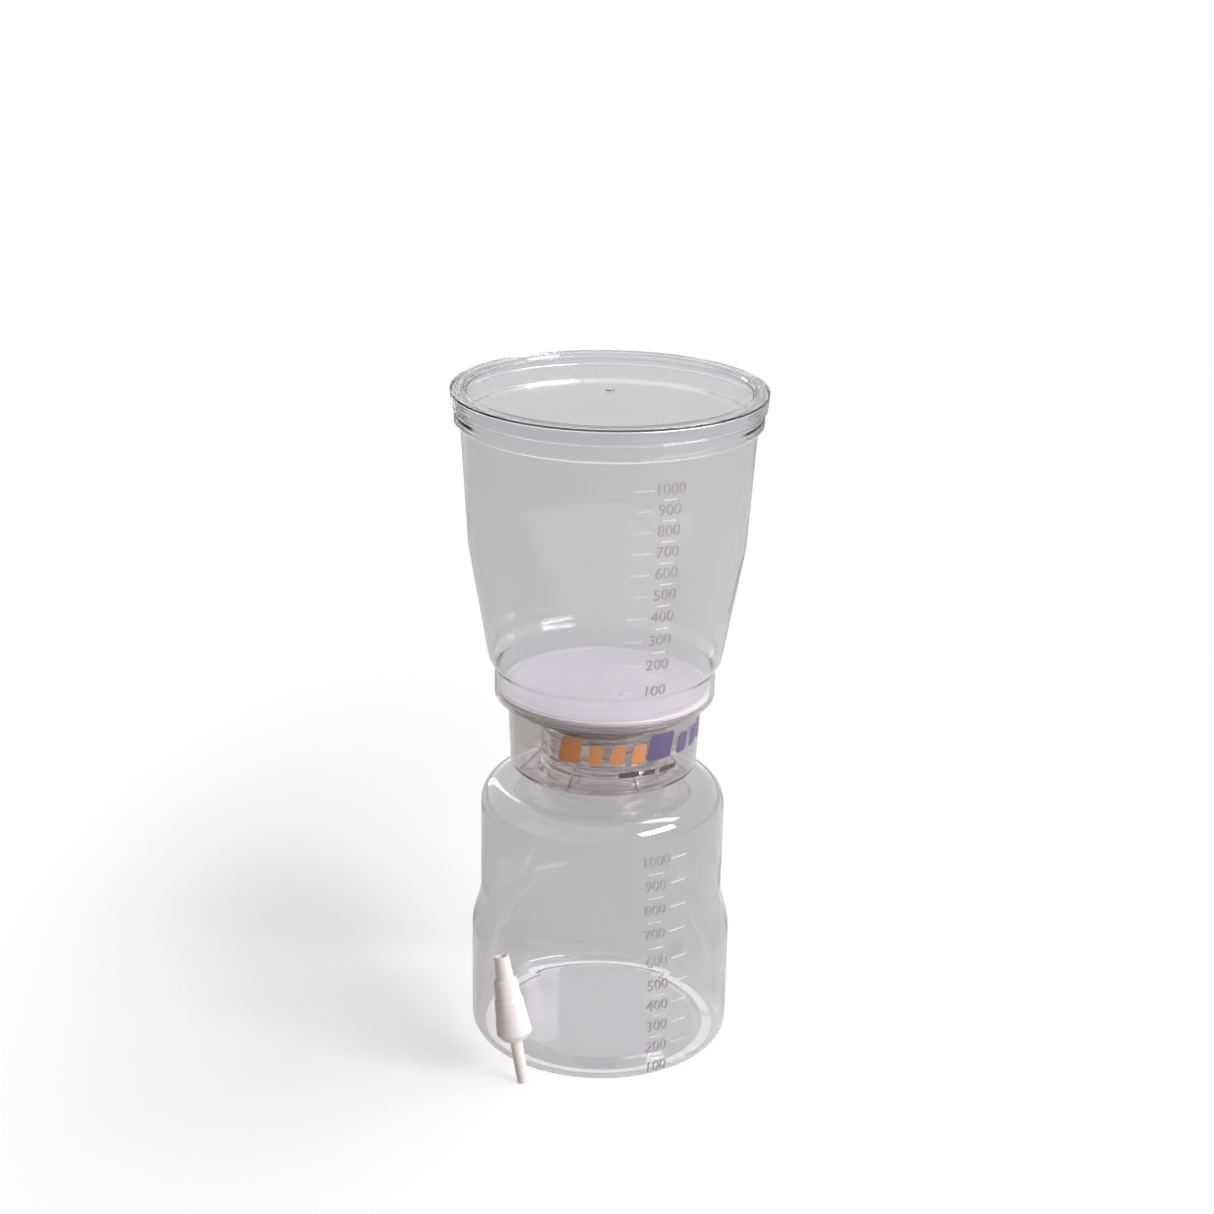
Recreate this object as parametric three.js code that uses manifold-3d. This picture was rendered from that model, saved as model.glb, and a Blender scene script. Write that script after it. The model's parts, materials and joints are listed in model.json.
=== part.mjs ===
// Vacuum filtration unit: a receiver bottle, a screw-on filter base with its vacuum port and
// drain cone, a membrane on its support plate, a funnel, a lid and a loose hose adapter.
// Millimetres, +Z up, the origin on the table under the middle of the bottle.

import * as THREE from 'three';
import Module from 'manifold-3d';
import { mergeVertices } from 'three/addons/utils/BufferGeometryUtils.js';

const wasm = await Module();
wasm.setup();

// --- Driving dimensions ---

const seatGap = 0.3; // between pieces that rest on each other
const facets = 48; // round a wall
const boreFacets = 20; // round a bore or a tube

// Receiver bottle, from the foot upwards
const bottleRadius = 58;
const bottleUpperRadius = 54;
const bottleWall = 1.7;
const heelRadius = 6;
const footWidth = 5;
const puntRise = 3;
const lowerHeight = 50;
const ledgeHeight = 20;
const upperHeight = 52;
const shoulderRadius = 12;
const shoulderRise = 1.2; // from the flat of the shoulder to the root of the neck
const neckRadius = 22.6;
const neckRoot = 3; // fillet between shoulder and neck
const neckHeight = 24;

// Gasket on the lip of the neck
const gasketThickness = 1.5;
const gasketWidth = 3.6;

// Filter base: threaded collar, web over the neck, drum and floor
const collarRoom = 2; // for the threads between neck and collar
const collarWall = 2.8;
const collarDepth = 21.5; // below the lip of the neck
const flangeWidth = 1.6;
const flangeHeight = 3;
const webThickness = 1.8;
const webHoleRadius = 14;
const drumRadius = 42.4;
const drumHeight = 32.5; // under the funnel's ledge
const drumDraft = 1.5;
const drumTopWall = 1.5;
const drumWall = 1.8;
const drumCorner = 2.5; // between wall and floor
const gussetCount = 8;
const gussetThickness = 1.4;
const gussetHeight = 9;

// Vacuum port in the back of the drum's wall
const portRise = 8; // above the underside of the drum
const portLength = 10.1; // past the foot of the drum's wall
const portBore = 3;
const portTipWall = 1.75;
const portRootWall = 2.3;

// Drain cone, an insert with a drip spout
const coneRimWidth = 2;
const coneRimHeight = 5.4;
const coneWall = 1.8;
const coneFall = 7.8;
const spoutBore = 5;
const spoutWall = 1.7;
const spoutDepth = 16; // below the lip of the neck
const spoutSlant = 30; // degrees, of the cut at its tip

// Support plate and membrane
const plateMargin = 3.6; // of the plate past the drum
const plateThickness = 1.9;
const slotRings = 4;
const slotWidth = 1.6;
const slotLength = 6.4;
const slotSpacing = 9; // from ring to ring
const slotPitch = 8; // round each ring
const membraneMargin = 1; // of the plate round the membrane
const membraneThickness = 0.2;
const membraneGap = 0.1;

// Funnel, from its ledge upwards
const ledgeThickness = 2;
const ledgeChamfer = 1;
const funnelWall = 1.8;
const plateWallHeight = 9.5; // upright wall round the plate
const flareHeight = 7.5;
const flareWidth = 2.9;
const coneBodyHeight = 50;
const coneBodyRadius = 59.6; // where the cone turns into the upper wall
const breakLength = 6; // of the soft turn between them
const upperWallHeight = 53;
const bandHeight = 7.4;
const bandWidth = 1; // of the band past the rim above it
const shelfWidth = 2.6; // of the band past the wall under it
const rimStand = 5.8;
const rimRadius = 64.4;

// Lid
const lidWall = 1.5;
const lidThickness = 1.6;
const lidRoom = 0.6; // between its skirt and the rim
const lidDraft = 0.6;
const lidSink = 1.2; // of the panel into the funnel's mouth
const lidPanelRoom = 2.4; // between the panel's step and the rim
const lidEdgeRadius = 1;

// Hose adapter, standing on its stem against the bottle
const stemFit = 0.25; // of the stem in the port's bore
const adapterStemTaper = 0.3; // of the stem towards its foot
const adapterStemLength = 20.5;
const adapterChamferWidth = 2;
const adapterChamferHeight = 2.8;
const adapterStepRadii = [7.75, 7, 5.7]; // at the lower edge of each step
const adapterStepHeights = [6, 10.2, 8.9];
const adapterDraft = 0.08; // radius lost for each unit of length
const adapterShoulderHeight = 1.6;
const adapterTipRadius = 3.9;
const adapterTipLength = 10;
const adapterTipBore = 2.3;
const adapterStemBore = 1.6;
const adapterAzimuth = 29; // degrees left of the front
const adapterFootGap = 9; // between its foot and the bottle
const adapterLean = 0.175; // sideways travel for each unit of length

// --- Sizes worked out from those above ---

const ledgeBottom = lowerHeight;
const ledgeTop = ledgeBottom + ledgeHeight;
const shoulderTop = ledgeTop + upperHeight;
const neckTop = shoulderTop + neckHeight;
const gasketBottom = neckTop + seatGap;
const gasketTop = gasketBottom + gasketThickness;

const threadRadius = neckRadius + collarRoom; // inside of the collar
const collarRadius = threadRadius + collarWall;
const collarBottom = neckTop - collarDepth;
const webBottom = gasketTop + seatGap;
const webTop = webBottom + webThickness;
const coneClearance = spoutWall / 2; // between the web and the cone over it
const coneFloor = webTop + coneClearance + coneWall; // top of the cone at the spout
const coneTop = coneFloor + coneFall; // top of the cone at its rim
const seatHeight = coneTop - coneWall + coneRimHeight; // of the rim and of the ledge, under the plate
const ledgeUnderside = seatHeight - ledgeThickness;
const drumTop = ledgeUnderside - seatGap;
const drumBottom = drumTop - drumHeight;
const drumFoot = drumRadius - drumDraft; // outside of the drum at its foot
const coneRimRadius = drumRadius - drumTopWall - seatGap;
const coneRimBottom = seatHeight - coneRimHeight;
const portHeight = drumBottom + portRise;
const portReach = drumFoot + portLength; // from the axis to the tip
const adapterStemRadius = portBore - stemFit;
const adapterFootRadius = adapterStemRadius - adapterStemTaper;

const plateRadius = drumRadius + plateMargin;
const plateBottom = seatHeight + seatGap;
const plateTop = plateBottom + plateThickness;
const ledgeInside = drumRadius - drumTopWall; // of the ledge that carries the plate
const plateWallInside = plateRadius + seatGap; // of the upright wall round the plate
const plateWallTop = seatHeight + plateWallHeight;
const flareTop = plateWallTop + flareHeight;
const coneBodyTop = flareTop + coneBodyHeight;
const bandBottom = coneBodyTop + upperWallHeight;
const bandTop = bandBottom + bandHeight;
const rimTop = bandTop + rimStand;

// --- Helpers ---

const radians = THREE.MathUtils.degToRad;

// Points on an arc in the profile plane, from one angle to another in degrees.
function arc(radius, centreR, centreZ, from, to, steps) {
  return Array.from({ length: steps + 1 }, (_, i) => {
    const angle = radians(from + ((to - from) * i) / steps);
    return [centreR + radius * Math.cos(angle), centreZ + radius * Math.sin(angle)];
  });
}

// A soft step between two radii over a stretch of height.
function softStep(fromR, fromZ, toR, toZ, steps) {
  return Array.from({ length: steps + 1 }, (_, i) => {
    const t = i / steps;
    return [fromR + (toR - fromR) * THREE.MathUtils.smoothstep(t, 0, 1), fromZ + (toZ - fromZ) * t];
  });
}

// Turns a profile of [radius, height] about +Z.
function revolve(profile, segments = facets) {
  const points = profile.map(([r, z]) => new THREE.Vector2(r, z));
  return new THREE.LatheGeometry(points, segments).rotateX(Math.PI / 2);
}

// A profile that doesn't reach the axis ends where it starts.
function revolveRing(profile, segments = facets) {
  return revolve([...profile, profile[0]], segments);
}

// A closed mesh as a manifold solid, with its shared vertices merged.
function solid(geometry) {
  const bare = new THREE.BufferGeometry();
  bare.setAttribute('position', geometry.getAttribute('position').clone());
  bare.setIndex(geometry.getIndex());
  const merged = mergeVertices(bare, 1e-4);
  const corners = merged.getIndex().array;
  const triangles = [];
  for (let i = 0; i < corners.length; i += 3) {
    const [a, b, c] = corners.slice(i, i + 3);
    if (a !== b && b !== c && c !== a) triangles.push(a, b, c);
  }
  const mesh = new wasm.Mesh({
    numProp: 3,
    vertProperties: new Float32Array(merged.getAttribute('position').array),
    triVerts: new Uint32Array(triangles),
  });
  return new wasm.Manifold(mesh);
}

function geometryOf(manifold) {
  const mesh = manifold.getMesh();
  const geometry = new THREE.BufferGeometry();
  geometry.setAttribute('position', new THREE.BufferAttribute(new Float32Array(mesh.vertProperties), 3));
  geometry.setIndex(new THREE.BufferAttribute(new Uint32Array(mesh.triVerts), 1));
  return geometry;
}

// --- Materials ---

const clearPlastic = () =>
  new THREE.MeshStandardMaterial({
    color: 0xdfe3e6,
    roughness: 0.08,
    metalness: 0,
    transparent: true,
    opacity: 0.35,
  });
const whitePlastic = () => new THREE.MeshStandardMaterial({ color: 0xe9e6df, roughness: 0.4, metalness: 0 });
const filterSheet = () => new THREE.MeshStandardMaterial({ color: 0xe8e0e0, roughness: 0.85, metalness: 0 });
const silicone = () => new THREE.MeshStandardMaterial({ color: 0xd8d6d0, roughness: 0.6, metalness: 0 });

const unit = new THREE.Group();

function add(name, geometry, material) {
  const mesh = new THREE.Mesh(geometry, material);
  mesh.name = name;
  unit.add(mesh);
  return mesh;
}

// --- Receiver bottle ---

// The bottle's surface, moved into the material by an inset, from the axis to the lip.
function bottleSurface(inset) {
  const footRadius = bottleRadius - heelRadius;
  const shoulderCentreR = bottleUpperRadius - shoulderRadius;
  const shoulderCentreZ = shoulderTop - shoulderRadius;
  const neckCentreR = neckRadius + neckRoot;
  const neckCentreZ = shoulderTop + shoulderRise + neckRoot;
  return [
    [0, puntRise + inset],
    [footRadius - footWidth - puntRise, puntRise + inset],
    [footRadius - footWidth, inset],
    ...arc(heelRadius - inset, footRadius, heelRadius, -90, 0, 3),
    ...softStep(bottleRadius - inset, ledgeBottom, bottleUpperRadius - inset, ledgeTop, 4),
    ...arc(shoulderRadius - inset, shoulderCentreR, shoulderCentreZ, 0, 90, 4),
    ...arc(neckRoot + inset, neckCentreR, neckCentreZ, 270, 180, 2),
    [neckRadius - inset, neckTop],
  ];
}

function receiverBottle() {
  const outside = bottleSurface(0);
  const inside = bottleSurface(bottleWall).reverse();
  return revolve([...outside, ...inside]);
}

add('receiver_bottle', receiverBottle(), clearPlastic());

// --- Neck gasket ---

function neckGasket() {
  const inner = neckRadius - gasketWidth;
  return revolveRing([
    [inner, gasketBottom],
    [neckRadius, gasketBottom],
    [neckRadius, gasketTop],
    [inner, gasketTop],
  ]);
}

add('neck_gasket', neckGasket(), silicone());

// --- Filter base ---

// Collar, floor, drum and web as one revolved section.
function filterBaseBody() {
  const flangeRadius = collarRadius + flangeWidth;
  const flangeTop = collarBottom + flangeHeight;
  const cornerR = drumFoot - drumCorner;
  const cornerZ = drumBottom + drumCorner;
  const stepZ = coneRimBottom - seatGap;
  const floorTop = drumBottom + drumWall;
  return solid(
    revolveRing([
      [threadRadius, collarBottom],
      [flangeRadius, collarBottom],
      [flangeRadius, flangeTop],
      [collarRadius, flangeTop + flangeWidth / 2],
      [collarRadius, drumBottom],
      ...arc(drumCorner, cornerR, cornerZ, -90, 0, 4),
      [drumRadius, drumTop],
      [drumRadius - drumTopWall, drumTop],
      [drumRadius - drumTopWall, stepZ],
      [coneRimRadius - coneRimWidth / 2, stepZ],
      ...arc(drumCorner - drumWall, cornerR, cornerZ, 0, -90, 3),
      [collarRadius, floorTop],
      [collarRadius, webTop],
      [webHoleRadius, webTop],
      [webHoleRadius, webBottom],
      [threadRadius, webBottom],
    ]),
  );
}

// Ribs on the floor of the drum, against the collar.
function gussets() {
  const root = drumBottom + drumWall / 2;
  const crest = drumBottom + drumWall + gussetHeight;
  const shape = new THREE.Shape();
  shape.moveTo(collarRadius - collarWall / 2, root);
  shape.lineTo(drumFoot - drumCorner, root);
  shape.lineTo(drumFoot - drumCorner, drumBottom + drumWall);
  shape.lineTo(collarRadius, crest);
  shape.lineTo(collarRadius - collarWall / 2, crest);
  const settings = { depth: gussetThickness, bevelEnabled: false };
  const rib = new THREE.ExtrudeGeometry(shape, settings).translate(0, 0, -gussetThickness / 2);
  rib.rotateX(Math.PI / 2);
  return Array.from({ length: gussetCount }, (_, i) => {
    const angle = ((i + 0.5) * 2 * Math.PI) / gussetCount;
    return solid(rib.clone().rotateZ(angle));
  });
}

// The port's outside: a taper along +Y, rooted in the drum's wall.
function portTube() {
  const root = drumFoot - drumWall / 2;
  const length = portReach - root;
  const profile = [
    [0, 0],
    [portBore + portRootWall, 0],
    [portBore + portTipWall, length - portTipWall / 2],
    [portBore + portTipWall / 2, length],
    [0, length],
  ];
  return revolve(profile, boreFacets).rotateX(-Math.PI / 2).translate(0, root, portHeight);
}

function portBoreCut() {
  const length = portReach - collarRadius - drumCorner;
  const cut = new THREE.CylinderGeometry(portBore, portBore, length, boreFacets + 4);
  return cut.translate(0, portReach - length / 2 + seatGap, portHeight);
}

function filterBase() {
  let base = filterBaseBody().add(solid(portTube()));
  for (const rib of gussets()) base = base.add(rib);
  return geometryOf(base.subtract(solid(portBoreCut())));
}

add('filter_base', filterBase(), clearPlastic());

// --- Drain cone ---

// An insert that hangs by its rim in the drum, with its spout cut off at a slant.
function drainCone() {
  const rimInside = coneRimRadius - coneRimWidth;
  const spoutRadius = spoutBore + spoutWall;
  const spoutTip = neckTop - spoutDepth;
  const insert = solid(
    revolveRing([
      [rimInside - coneWall, coneRimBottom],
      [coneRimRadius, coneRimBottom],
      [coneRimRadius, seatHeight],
      [rimInside, seatHeight],
      [rimInside, coneTop],
      [spoutBore, coneFloor],
      [spoutBore, spoutTip],
      [spoutRadius, spoutTip],
      [spoutRadius + spoutWall / 2, coneFloor - coneWall],
    ]),
  );
  const size = 4 * spoutRadius;
  const cut = new THREE.BoxGeometry(size, size, size);
  cut.translate(0, 0, -size / 2).rotateY(radians(spoutSlant));
  cut.translate(0, 0, spoutTip + spoutRadius * Math.tan(radians(spoutSlant)));
  return geometryOf(insert.subtract(solid(cut)));
}

add('drain_cone', drainCone(), clearPlastic());

// --- Support plate ---

// Rings of radial slots that let the filtrate through.
function supportPlate() {
  const disc = revolve([
    [0, plateBottom],
    [plateRadius, plateBottom],
    [plateRadius, plateTop],
    [0, plateTop],
  ]);
  const slots = [];
  for (let ring = 0; ring < slotRings; ring += 1) {
    const radius = (ring + 0.5) * slotSpacing + slotLength / 2;
    const count = Math.round((2 * Math.PI * radius) / slotPitch);
    for (let i = 0; i < count; i += 1) {
      const slot = new THREE.BoxGeometry(slotLength, slotWidth, 2 * plateThickness);
      slot.translate(radius, 0, (plateBottom + plateTop) / 2).rotateZ(((i + ring / 2) * 2 * Math.PI) / count);
      slots.push(solid(slot));
    }
  }
  return geometryOf(slots.reduce((plate, slot) => plate.subtract(slot), solid(disc)));
}

add('support_plate', supportPlate(), whitePlastic());

// --- Membrane ---

function membrane() {
  const radius = plateRadius - membraneMargin;
  const bottom = plateTop + membraneGap;
  const top = bottom + membraneThickness;
  return revolve([
    [0, bottom],
    [radius, bottom],
    [radius, top],
    [0, top],
  ]);
}

add('membrane', membrane(), filterSheet());

// --- Funnel ---

// The bowl from the plate to the band, moved into the material by an inset.
function bowlSurface(inset) {
  const plateWall = plateWallInside + funnelWall;
  const flareStart = plateWallTop + flareHeight / 6;
  const wallTop = rimRadius + bandWidth - shelfWidth;
  const share = breakLength / 2 / coneBodyHeight;
  const below = coneBodyRadius - (coneBodyRadius - plateWall - flareWidth) * share;
  const above = coneBodyRadius + ((wallTop - coneBodyRadius) * breakLength) / 2 / upperWallHeight;
  return [
    [plateWall - inset, plateWallTop],
    ...softStep(plateWall - inset, flareStart, plateWall + flareWidth - inset, flareTop, 4),
    [below - inset, coneBodyTop - breakLength / 2],
    [above - inset, coneBodyTop + breakLength / 2],
    [wallTop - inset, bandBottom],
  ];
}

function funnel() {
  const bandRadius = rimRadius + bandWidth;
  const skirt = plateWallInside + funnelWall;
  const outside = [
    [ledgeInside, ledgeUnderside],
    [skirt - ledgeChamfer, ledgeUnderside],
    [skirt, ledgeUnderside + ledgeChamfer],
    ...bowlSurface(0),
    [bandRadius, bandBottom + ledgeChamfer],
    [bandRadius, bandTop],
    [rimRadius, bandTop],
    [rimRadius, rimTop],
  ];
  const inside = [
    [rimRadius - funnelWall, rimTop],
    ...bowlSurface(funnelWall).reverse(),
    [plateWallInside, seatHeight],
    [ledgeInside, seatHeight],
  ];
  return revolveRing([...outside, ...inside]);
}

add('funnel', funnel(), clearPlastic());

// --- Lid ---

function lid() {
  const inside = rimRadius + lidRoom;
  const lip = bandTop + seatGap;
  const underside = rimTop + seatGap;
  const top = underside + lidThickness;
  const panelRadius = rimRadius - funnelWall - lidPanelRoom;
  const outer = inside + lidWall;
  return revolve([
    [0, underside - lidSink],
    [panelRadius, underside - lidSink],
    [panelRadius + lidSink, underside],
    [inside, underside],
    [inside, lip],
    [outer, lip],
    ...arc(lidEdgeRadius, outer + lidDraft - lidEdgeRadius, top - lidEdgeRadius, 0, 90, 3),
    [panelRadius + lidSink, top],
    [panelRadius, top - lidSink],
    [0, top - lidSink],
  ]);
}

add('lid', lid(), clearPlastic());

// --- Hose adapter ---

// Stem, chamfer, stepped barbs and tip, from the foot upwards.
function adapterSection() {
  const section = [[adapterStemBore, 0], [adapterFootRadius, 0], [adapterStemRadius, adapterStemLength]];
  section.push([adapterStepRadii[0] - adapterChamferWidth, adapterStemLength]);
  let height = adapterStemLength + adapterChamferHeight;
  adapterStepRadii.forEach((radius, i) => {
    const straight = adapterStepHeights[i] - adapterShoulderHeight;
    section.push([radius, height], [radius - adapterDraft * straight, height + straight]);
    height += adapterStepHeights[i];
  });
  const tipEnd = height + adapterTipLength;
  section.push([adapterTipRadius, height], [adapterTipRadius - adapterDraft * adapterTipLength, tipEnd]);
  section.push([adapterTipBore, tipEnd], [adapterTipBore, height]);
  section.push([adapterStemBore, adapterStemLength]);
  return section;
}

// It leans sideways by its own slant, and back until the first of its edges meets the bottle.
function placeAdapter(mesh) {
  const footDistance = bottleRadius + adapterFootGap;
  const azimuth = radians(adapterAzimuth);
  const foot = new THREE.Vector3(-footDistance * Math.sin(azimuth), -footDistance * Math.cos(azimuth), 0);
  const edges = adapterSection().filter(([radius]) => radius > adapterStemRadius);
  const slants = edges.map(([radius, length]) => {
    const touchX = foot.x - adapterLean * length;
    const touchDistance = bottleRadius + seatGap + radius;
    return (-Math.sqrt(touchDistance ** 2 - touchX ** 2) - foot.y) / length;
  });
  const back = Math.min(...slants);
  const up = Math.sqrt(1 - adapterLean ** 2 - back ** 2);
  foot.z = adapterFootRadius * Math.sqrt(1 - up ** 2);
  mesh.position.copy(foot);
  mesh.quaternion.setFromUnitVectors(new THREE.Vector3(0, 0, 1), new THREE.Vector3(-adapterLean, back, up));
}

placeAdapter(add('hose_adapter', revolveRing(adapterSection(), boreFacets), whitePlastic()));

export default unit;
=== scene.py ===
import json
import math

import bmesh
import bpy
import numpy as np
from mathutils import Matrix, Vector


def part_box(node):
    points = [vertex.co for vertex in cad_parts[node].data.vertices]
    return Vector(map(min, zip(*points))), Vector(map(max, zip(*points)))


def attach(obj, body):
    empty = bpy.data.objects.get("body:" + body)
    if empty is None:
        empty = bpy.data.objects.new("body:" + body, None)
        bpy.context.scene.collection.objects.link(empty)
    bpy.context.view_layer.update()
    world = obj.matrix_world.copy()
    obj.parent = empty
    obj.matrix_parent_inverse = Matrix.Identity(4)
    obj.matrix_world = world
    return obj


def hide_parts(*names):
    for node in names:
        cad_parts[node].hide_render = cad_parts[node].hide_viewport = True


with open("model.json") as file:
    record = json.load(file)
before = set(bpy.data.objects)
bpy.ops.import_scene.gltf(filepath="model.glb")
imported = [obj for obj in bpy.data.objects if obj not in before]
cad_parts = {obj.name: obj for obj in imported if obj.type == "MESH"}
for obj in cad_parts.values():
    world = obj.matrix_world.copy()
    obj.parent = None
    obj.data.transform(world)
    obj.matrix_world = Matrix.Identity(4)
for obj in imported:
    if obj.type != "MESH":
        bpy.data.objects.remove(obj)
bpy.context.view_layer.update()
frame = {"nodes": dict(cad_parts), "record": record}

mm = 0.001
tau = 2 * math.pi
seatGap = 0.3  # millimetres between pieces that rest on each other


class Wire:  # an output socket that takes part in sums
    def __init__(self, nodes, socket):
        self.nodes = nodes
        self.socket = socket

    def reckon(self, operation, left, right):
        return self.nodes.add("ShaderNodeMath", {"operation": operation}, {0: left, 1: right})

    def __add__(self, other):
        return self.reckon("ADD", self, other)

    def __sub__(self, other):
        return self.reckon("SUBTRACT", self, other)

    def __rsub__(self, other):
        return self.reckon("SUBTRACT", other, self)

    def __mul__(self, other):
        return self.reckon("MULTIPLY", self, other)

    def __truediv__(self, other):
        return self.reckon("DIVIDE", self, other)

    def __rtruediv__(self, other):
        return self.reckon("DIVIDE", other, self)

    def __gt__(self, other):
        return self.reckon("GREATER_THAN", self, other)

    def __lt__(self, other):
        return self.reckon("LESS_THAN", self, other)

    def maximum(self, other):
        return self.reckon("MAXIMUM", self, other)

    __radd__ = __add__
    __rmul__ = __mul__


class Nodes:  # a shader or geometry tree being built
    def __init__(self, tree, family):
        self.tree = tree
        self.family = family
        tree.nodes.clear()

    def add(self, kind, settings=None, sockets=None, output=0):
        node = self.tree.nodes.new(kind if kind.startswith("ShaderNode") else self.family + kind)
        for name, value in (settings or {}).items():
            setattr(node, name, value)
        for name, value in (sockets or {}).items():
            self.feed(node.inputs[name], value)
        if not node.outputs:
            return node
        return Wire(self, node.outputs[output])

    def feed(self, socket, value):
        if isinstance(value, Wire):
            self.tree.links.new(value.socket, socket)
        else:
            socket.default_value = value


def startMaterial(name):
    material = bpy.data.materials.new(name)
    material.use_nodes = True
    return material, Nodes(material.node_tree, "ShaderNode")


def objectPlace(nodes):
    return nodes.add("TexCoord", output="Object")


def grain(nodes, where, size, detail=2.0, stretch=(1, 1, 1)):
    # noise in lumps of this size in metres
    scaled = nodes.add("Mapping", sockets={"Vector": where, "Scale": stretch})
    return nodes.add("TexNoise", sockets={"Vector": scaled, "Scale": 1 / size, "Detail": detail})


def between(nodes, share, low, high):
    # spreads the middle of a noise over a range
    return nodes.add(
        "MapRange", sockets={"Value": share, "From Min": 0.3, "From Max": 0.7, "To Min": low, "To Max": high}
    )


def blendColours(nodes, share, first, second):
    # each colour is three numbers or an output socket
    sockets = {0: share}
    for index, colour in ((6, first), (7, second)):
        sockets[index] = colour if isinstance(colour, Wire) else (*colour, 1)
    return nodes.add("Mix", {"data_type": "RGBA"}, sockets, output=2)


def bumped(nodes, height, depth, strength=1.0):
    return nodes.add("Bump", sockets={"Height": height, "Distance": depth, "Strength": strength})


clearLook = {
    "tint": (0.895, 0.885, 0.90),
    "deeperTint": (0.865, 0.855, 0.875),
    "index": 1.57,
    "roughness": (0.012, 0.05),
    "waveSize": 0.022,
    "waveDepth": 0.00012,
    "shadowTint": (0.76, 0.76, 0.765),
}


def axisDistance(nodes, where):
    flat = nodes.add("VectorMath", {"operation": "MULTIPLY"}, {0: where, 1: (1, 1, 0)})
    return nodes.add("VectorMath", {"operation": "LENGTH"}, {0: flat}, output="Value")


def letThrough(nodes, skin, tint):
    # shadow rays pass with this tint, so light reaches what lies behind
    passing = nodes.add("BsdfTransparent", sockets={"Color": (*tint, 1)})
    path = nodes.add("LightPath", output="Is Shadow Ray")
    return nodes.add("MixShader", sockets={0: path, 1: skin, 2: passing})


def clearPlastic(name, look, roughness=None, clarity=1.0):
    # a clarity under 1 makes it milky
    material, nodes = startMaterial(name)
    where = objectPlace(nodes)
    waves = grain(nodes, where, look["waveSize"], detail=1.0, stretch=(1, 1, 0.45))
    haze = grain(nodes, where, look["waveSize"] * 2.5, detail=3.0)
    low, high = roughness or look["roughness"]
    colour = blendColours(nodes, haze, look["tint"], look["deeperTint"])
    # painted light: a lighter tint near the axis lifts the darkening that the many stacked inner walls give there
    if "paintedLightTint" in look:
        paintedLightShare = 1 - (axisDistance(nodes, where) > look["paintedLightRadius"])
        colour = blendColours(nodes, paintedLightShare, colour, look["paintedLightTint"])
    skin = nodes.add("BsdfPrincipled", sockets={
        "Base Color": colour,
        "Roughness": between(nodes, haze, low, high),
        "IOR": look["index"],
        "Transmission Weight": clarity,
        "Normal": bumped(nodes, waves, look["waveDepth"]),
    })
    nodes.add("OutputMaterial", sockets={"Surface": letThrough(nodes, skin, look["shadowTint"])})
    return material


# how far light travels below the skin of milky pieces
scatter = {
    "Subsurface Radius": (1.0, 0.9, 0.8),
    "Subsurface Scale": 0.0025,
}


def moulded(name, colour, shade, roughness, grainSize, grainDepth, translucence):
    # opaque moulded plastic or rubber: cloudy colour, fine skin
    material, nodes = startMaterial(name)
    where = objectPlace(nodes)
    clouds = grain(nodes, where, size=0.012, detail=3.0)
    fine = grain(nodes, where, grainSize, detail=4.0)
    skin = nodes.add("BsdfPrincipled", sockets={
        "Base Color": blendColours(nodes, clouds, colour, shade),
        "Roughness": between(nodes, clouds, *roughness),
        "IOR": 1.5,
        "Subsurface Weight": translucence,
        **scatter,
        "Normal": bumped(nodes, fine, grainDepth),
    })
    nodes.add("OutputMaterial", sockets={"Surface": skin})
    return material


def filterSheet(name, colour, shade, weldColour, weldFrom, weldTo):
    # matt felted sheet, a little shinier where its edge is welded down
    material, nodes = startMaterial(name)
    where = objectPlace(nodes)
    radius = axisDistance(nodes, where)
    weld = (radius > weldFrom) * (1 - (radius > weldTo))
    clouds = grain(nodes, where, size=0.03)
    fibres = grain(nodes, where, size=0.00035, detail=6.0, stretch=(1, 1, 0.2))
    threads = grain(nodes, where, size=0.0012, detail=5.0, stretch=(0.25, 1, 1))
    felt = blendColours(nodes, clouds, colour, shade)
    skin = nodes.add("BsdfPrincipled", sockets={
        "Base Color": blendColours(nodes, weld * 0.6, felt, weldColour),
        "Roughness": 0.92 - weld * 0.4,
        "Sheen Weight": 0.15,
        "Subsurface Weight": 0.6,
        **scatter,
        "Normal": bumped(nodes, fibres + threads * 0.5, depth=0.00006, strength=0.7),
    })
    nodes.add("OutputMaterial", sockets={"Surface": skin})
    return material


def ink(name, colour, worn):
    # thin printed ink with tiny pinholes of lighter colour
    material, nodes = startMaterial(name)
    where = objectPlace(nodes)
    speckle = grain(nodes, where, size=0.0006, detail=4.0)
    cloud = grain(nodes, where, size=0.006)
    skin = nodes.add("BsdfPrincipled", sockets={
        "Base Color": blendColours(nodes, cloud * 0.6 + speckle * 0.4, colour, worn),
        "Roughness": between(nodes, speckle, low=0.28, high=0.45),
        "Normal": bumped(nodes, speckle, depth=0.00002),
    })
    nodes.add("OutputMaterial", sockets={"Surface": skin})
    return material


plasticClear = clearPlastic("clear moulded polystyrene", clearLook)
plasticBottle = clearPlastic(
    "clear plastic of the bottle", {**clearLook, "tint": (0.865, 0.855, 0.87), "deeperTint": (0.84, 0.83, 0.85)}
)
plasticLid = clearPlastic(
    "clear plastic of the lid",
    {**clearLook, "tint": (0.925, 0.915, 0.94), "deeperTint": (0.895, 0.885, 0.91), "waveDepth": 0.00005},
)
plasticBase = clearPlastic("clear plastic of the base", {
    **clearLook,
    "tint": (0.77, 0.735, 0.73),
    "deeperTint": (0.745, 0.71, 0.705),
    # lighter tint within this radius of the axis: painted light against the darkening of the stacked walls inside
    # the drum
    "paintedLightTint": (0.97, 0.945, 0.94),
    "paintedLightRadius": 0.034,
    "shadowTint": (0.92, 0.91, 0.91),
})
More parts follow.
